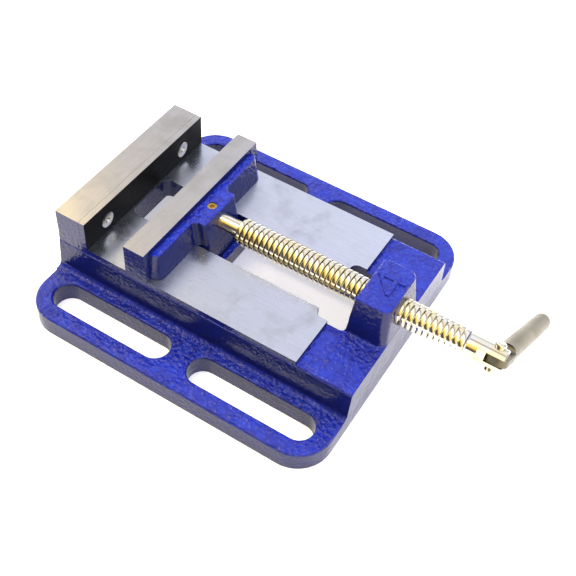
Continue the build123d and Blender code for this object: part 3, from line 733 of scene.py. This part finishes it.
class VISE_OT_castings(bpy.types.Operator):
    """Make the base and the movable jaw: enamelled castings with machined faces."""

    bl_idname = "vise.castings"
    bl_label = "Castings"

    def execute(self, context):
        for node, name, body, choose in (
                ("base_casting", "vise_base", "base", base_face),
                ("movable_jaw_casting", "vise_movable_jaw", "movable_jaw", jaw_face)):
            casting = piece_from(node, name, CASTING_COATS, choose)
            break_edges(casting, sizes().arris)
            settle(casting, body, "enamel", node)
        return {"FINISHED"}


class VISE_OT_jaw_plates(bpy.types.Operator):
    """Make the two hardened jaw plates, blacked on the face and ground on the edges."""

    bl_idname = "vise.jaw_plates"
    bl_label = "Jaw plates"

    def execute(self, context):
        for jaw, body, facing in JAWS:
            node = jaw + "_plate"
            low, high = PLATE_BOX[node]
            front = high.x if facing > 0 else low.x

            def plate_face(face):
                away = abs(face.calc_center_median().x - front)
                if abs(face.normal.x) > SQUARE and away < PLATE_NEAR:
                    return PLATE_FRONT
                # the ends were sprayed with the casting, and only the top was ground afterwards
                return PLATE_END if abs(face.normal.y) > SQUARE else PLATE_EDGE

            plate = piece_from(node, "vise_" + node, PLATE_COATS, plate_face)
            break_edges(plate, sizes().plate_arris)
            settle(plate, body, "jaw_steel", node)
        return {"FINISHED"}


class VISE_OT_plate_screws(bpy.types.Operator):
    """Make the countersunk cross-head screws that hold the jaw plates."""

    bl_idname = "vise.plate_screws"
    bl_label = "Jaw plate screws"

    def execute(self, context):
        pattern = self.pattern()
        tree = plate_screw_tree()
        for jaw, body, facing in JAWS:
            node = jaw + "_screws"
            low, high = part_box(node)
            front = (high.x if facing > 0 else low.x) - facing * HEAD_SUNK
            pair = run_tree(tree, "vise_" + node, {
                "Screw": pattern, "Middle": Vector((front, 0, (low.z + high.z) / 2)),
                "Half spacing": high.y - (high.z - low.z) / 2, "Facing": facing,
                "Turn": FIRST_STOP, "Material": finish("bright_zinc")})
            smooth_by_angle(pair.data, CRISP_TURNED)
            settle(pair, body, "zinc", node)
        bpy.data.objects.remove(pattern)
        return {"FINISHED"}

    def pattern(self):
        """One screw, head up at the origin, with a cross recess cut in it."""
        head, shank = sizes().head_radius, sizes().shank_radius
        low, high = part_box("fixed_jaw_screws")
        length = high.x - low.x - SCREW_SHORT
        screw = turned_object("plate_screw_pattern", (
            (0, 0), (head * HEAD_FLAT, 0), (head, -HEAD_ROUND), (head, -HEAD_RIM),
            (shank, -(head - shank) - CONE_MORE), (shank, -length + TIP), (shank - TIP, -length),
            (0, -length)))
        tools = [tapered_blade(turn) for turn in (0.0, math.pi / 2)]
        for tool in tools:
            cut = screw.modifiers.new("recess", "BOOLEAN")
            cut.object = tool
            cut.operation = "DIFFERENCE"
            cut.solver = "EXACT"
        bpy.context.view_layer.update()
        made = plain_copy(screw, "plate_screw_shape")
        for tool in tools:
            bpy.data.objects.remove(tool)
        return made


class VISE_OT_screw(bpy.types.Operator):
    """Make the screw: journal, wound thread and forked end, in bright zinc."""

    bl_idname = "vise.screw"
    bl_label = "Screw"

    def execute(self, context):
        shaft = piece_from("spindle", "vise_screw_shaft", ("bright_zinc",))
        radius, core = THREAD_RADIUS, THREAD_RADIUS - sizes().thread_depth

        def radial(point):
            return math.hypot(point.y, point.z - SCREW_AXIS.z)

        # the threaded length of the solid is cut down to the core
        points = frame["nodes"]["spindle"].data.vertices
        full = [point.co.x for point in points if radial(point.co) > THREAD_SHARE * radius]
        start, end = min(full), max(full)
        for vertex in shaft.data.vertices:
            here = radial(vertex.co)
            if start - radius * RUN_IN < vertex.co.x < end + CORE_PAST and here > core:
                share = core / here
                vertex.co.y *= share
                vertex.co.z = SCREW_AXIS.z + (vertex.co.z - SCREW_AXIS.z) * share
        smooth_by_angle(shaft.data, CRISP_TURNED)
        # and the ridge is wound round it
        ridge = run_tree(thread_tree(), "vise_thread", {
            "Radius": radius, "Depth": sizes().thread_depth, "Crest": sizes().crest,
            "Root": sizes().root, "Pitch": sizes().pitch, "Length": end - start + THREAD_MORE,
            "Run-out": sizes().run_out, "Material": finish("bright_zinc"),
            "Start": Vector((start - THREAD_BEFORE, 0, SCREW_AXIS.z))})
        smooth_by_angle(ridge.data, CRISP_TURNED)
        with context.temp_override(active_object=shaft, selected_editable_objects=[shaft, ridge]):
            bpy.ops.object.join()
        shaft.name = "vise_screw"
        settle(shaft, "spindle", "zinc", "spindle")
        return {"FINISHED"}


class VISE_OT_handle(bpy.types.Operator):
    """Make the folding handle and the rivet that it turns on."""

    bl_idname = "vise.handle"
    bl_label = "Handle and rivet"

    def execute(self, context):
        handle = piece_from("handle", "vise_handle", ("satin_steel",))
        break_edges(handle, HANDLE_ARRIS)
        settle(handle, "handle", "handle_steel", "handle")
        rivet = piece_from("handle_rivet", "vise_handle_rivet", ("bright_zinc",))
        settle(rivet, "spindle", "zinc", "handle_rivet")
        return {"FINISHED"}


class VISE_OT_retaining_screw(bpy.types.Operator):
    """Make the small grub screw that keeps the end of the screw in the movable jaw."""

    bl_idname = "vise.retaining_screw"
    bl_label = "Retaining screw"

    def execute(self, context):
        grub = piece_from("retaining_screw", "vise_retaining_screw", ("turned_brass",))
        break_edges(grub, GRUB_ARRIS)
        settle(grub, "movable_jaw", "zinc", "retaining_screw")
        return {"FINISHED"}


class VISE_OT_stage(bpy.types.Operator):
    """Set the vise on a pale table under soft light, and place the camera."""

    bl_idname = "vise.stage"
    bl_label = "Table, light and camera"

    def execute(self, context):
        stage = context.scene.vise_stage
        self.table()
        self.room(context, stage)
        self.camera(context, stage)
        return {"FINISHED"}

    def table(self):
        """A plain pale table top."""
        mesh = bpy.data.meshes.new("table")
        mesh.from_pydata([(x * TABLE_HALF, y * TABLE_HALF, 0)
                          for x, y in ((-1, -1), (1, -1), (1, 1), (-1, 1))], [], [(0, 1, 2, 3)])
        mesh.materials.append(finish("pale_laminate"))
        top = place("table", mesh)

    def room(self, context, stage):
        """A cool window behind the vise, a bright ceiling, warm lamps, and a dark room in front."""
        world = bpy.data.worlds.new("workshop")
        world.use_nodes = True
        tree = world.node_tree
        tree.nodes.clear()
        where = add(tree, "ShaderNodeTexCoord").outputs["Generated"]
        way = add(tree, "ShaderNodeSeparateXYZ", {"Vector": where}).outputs
        angle = add(tree, "ShaderNodeMath", {0: way["Z"], 1: way["Y"]}, operation="ARCTAN2")
        share = add(tree, "ShaderNodeMath", {0: angle, 1: math.pi}, operation="DIVIDE")
        lean = add(tree, "ShaderNodeMath", {0: way["X"], 1: SKY_MIDDLE}, operation="ADD")
        share = add(tree, "ShaderNodeMath", {0: lean, 1: SKY_LEAN, 2: share},
                    operation="MULTIPLY_ADD")
        sky = add(tree, "ShaderNodeValToRGB", {"Fac": share})
        stops = sky.color_ramp.elements
        stops.remove(stops[-1])
        stops[0].color = SKY[0][1]
        for position, colour in SKY[1:]:
            stops.new(position).color = colour
        back = add(tree, "ShaderNodeBackground", {"Color": sky, "Strength": stage.room})
        add(tree, "ShaderNodeOutputWorld", {"Surface": back})
        context.scene.world = world
        for name, spot, size, power, colour, shines in LAMPS:
            light = bpy.data.lights.new(name, "AREA")
            light.shape = "SQUARE"
            light.size = size
            light.energy = power
            light.color = colour
            lamp = place(name, light)
            lamp.location = spot
            lamp.visible_glossy = shines
            lamp.rotation_euler = (LAMP_AIM - Vector(spot)).to_track_quat("-Z", "Y").to_euler()

    def camera(self, context, stage):
        """A camera that looks down on the near corner."""
        right, up = Vector(stage.camera_right), Vector(stage.camera_up)
        turn = Matrix((right, up, right.cross(up))).transposed().to_4x4()
        lens = bpy.data.cameras.new("camera")
        lens.lens = stage.lens
        lens.sensor_width = SENSOR
        lens.clip_start, lens.clip_end = CLIP_NEAR, CLIP_FAR
        camera = place("camera", lens)
        camera.matrix_world = Matrix.Translation(stage.camera_place) @ turn
        context.scene.camera = camera
        context.scene.view_settings.view_transform = "Standard"


class VISE_PT_panel(bpy.types.Panel):
    """Lists the vise's settings and its pieces."""

    bl_idname = "VISE_PT_panel"
    bl_label = "Drill press vise"
    bl_space_type = "VIEW_3D"
    bl_region_type = "UI"
    bl_category = "Vise"

    def draw(self, context):
        scene = context.scene
        for label, group in (("Sizes", scene.vise_sizes), ("Colours", scene.vise_colours),
                             ("Stage", scene.vise_stage)):
            box = self.layout.box()
            box.label(text=label)
            for key in group.bl_rna.properties.keys():
                if key not in ("rna_type", "name"):
                    box.prop(group, key)
        for operator in OPERATORS:
            self.layout.operator(operator.bl_idname)


OPERATORS = (VISE_OT_castings, VISE_OT_jaw_plates, VISE_OT_plate_screws, VISE_OT_screw,
             VISE_OT_handle, VISE_OT_retaining_screw, VISE_OT_stage)
CLASSES = (ViseSizes, ViseColours, StageSettings, *OPERATORS, VISE_PT_panel)


def register():
    """Registers the classes and adds the settings to the scene."""
    for made in CLASSES:
        bpy.utils.register_class(made)
    bpy.types.Scene.vise_sizes = PointerProperty(type=ViseSizes)
    bpy.types.Scene.vise_colours = PointerProperty(type=ViseColours)
    bpy.types.Scene.vise_stage = PointerProperty(type=StageSettings)


def unregister():
    """Takes the settings and the classes away again."""
    del bpy.types.Scene.vise_stage
    del bpy.types.Scene.vise_colours
    del bpy.types.Scene.vise_sizes
    for made in reversed(CLASSES):
        bpy.utils.unregister_class(made)


def main():
    """Makes every piece in order."""
    register()
    bpy.ops.vise.castings()
    bpy.ops.vise.jaw_plates()
    bpy.ops.vise.plate_screws()
    bpy.ops.vise.screw()
    bpy.ops.vise.handle()
    bpy.ops.vise.retaining_screw()
    bpy.ops.vise.stage()


if __name__ == "__main__":
    main()
